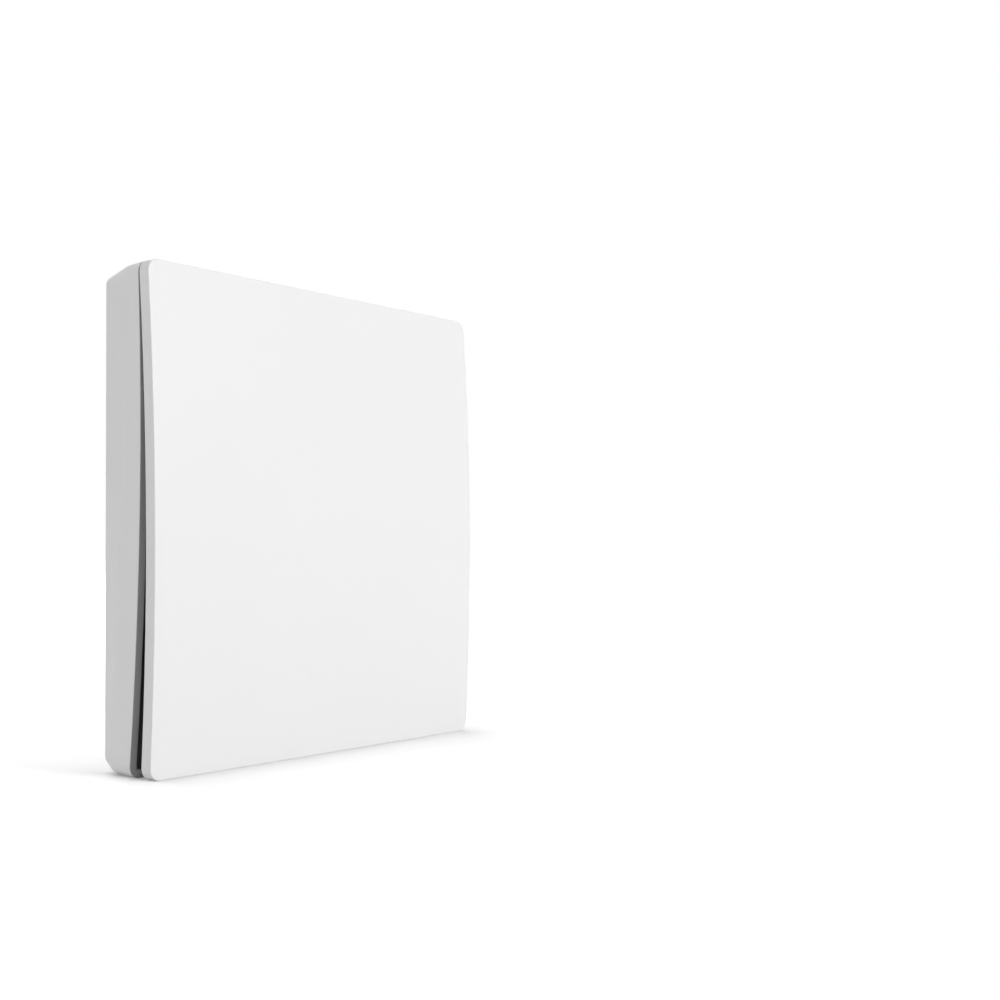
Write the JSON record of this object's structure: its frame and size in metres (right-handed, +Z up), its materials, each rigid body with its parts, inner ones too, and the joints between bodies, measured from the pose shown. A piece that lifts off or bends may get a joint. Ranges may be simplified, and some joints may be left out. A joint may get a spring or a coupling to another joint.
{
  "type": "wireless remote wall switch",
  "caption": "Square wall switch with one large rocker hinged at the top over a shallow housing, powered by a small rocking generator behind it.",
  "frame": {"origin": "centre of the back face, on the wall", "axes": "+Z up, +X to the right for someone facing the switch, +Y into the wall; the rocker faces -Y"},
  "size_m": [0.086, 0.015, 0.086],
  "materials": {
    "shell_white": "fine matt moulded",
    "rocker_white": "fine matt moulded",
    "plate_white": "matt moulded",
    "cover_grey": "matt moulded",
    "seal_rubber": "soft matt",
    "screw_steel": "zinc plated",
    "stop_rubber": "soft matt",
    "pin_steel": "ground",
    "spring_steel": "drawn wire",
    "frame_black": "matt moulded",
    "iron": "stamped",
    "bobbin_plastic": "matt moulded",
    "copper_wire": "enamelled wire",
    "magnet_nickel": "nickel plated",
    "carrier_plastic": "matt moulded",
    "board_green": "solder resist",
    "chip_black": "moulded package",
    "can_metal": "lidded can",
    "ceramic_tan": "fired ceramic",
    "wire_sleeve": "insulated wire"
  },
  "bodies": {
    "case": {"housing": "shell_white", "wall_plate": "plate_white", "inner_cover": "cover_grey", "cover_gasket": "seal_rubber", "cover_screws": "screw_steel", "bump_stops": "stop_rubber", "hinge_pin_left": "pin_steel", "hinge_pin_right": "pin_steel", "generator_frame": "frame_black", "core": "iron", "coil_bobbin": "bobbin_plastic", "coil_winding": "copper_wire", "coil_leads": "copper_wire", "circuit_board": "board_green", "radio_chip": "chip_black", "crystal": "can_metal", "bridge_rectifier": "chip_black", "voltage_regulator": "chip_black", "storage_capacitors": "ceramic_tan", "antenna_wire": "wire_sleeve"},
    "rocker": {"rocker_panel": "rocker_white", "return_spring_left": "spring_steel", "return_spring_right": "spring_steel"},
    "armature": {"magnet_carrier": "carrier_plastic", "magnet": "magnet_nickel", "front_pole_plate": "iron", "rear_pole_plate": "iron", "lever_leaf": "spring_steel"}
  },
  "joints": [
    {"name": "rocker_press", "type": "hinge", "parent": "case", "child": "rocker", "pos_m": [0, -0.0092, 0.0364], "axis": [1, 0, 0], "range_deg": [0, 1.6], "stiffness_Nm_per_rad": 3, "springref_deg": -2.29},
    {"name": "armature_rock", "type": "hinge", "parent": "case", "child": "armature", "pos_m": [0.003, -0.0062, 0.00775], "axis": [1, 0, 0], "range_deg": [0, 4.85]}
  ],
  "couplings": [
    {"joint": "armature_rock", "follows": "rocker_press", "ratio": 3}
  ]
}
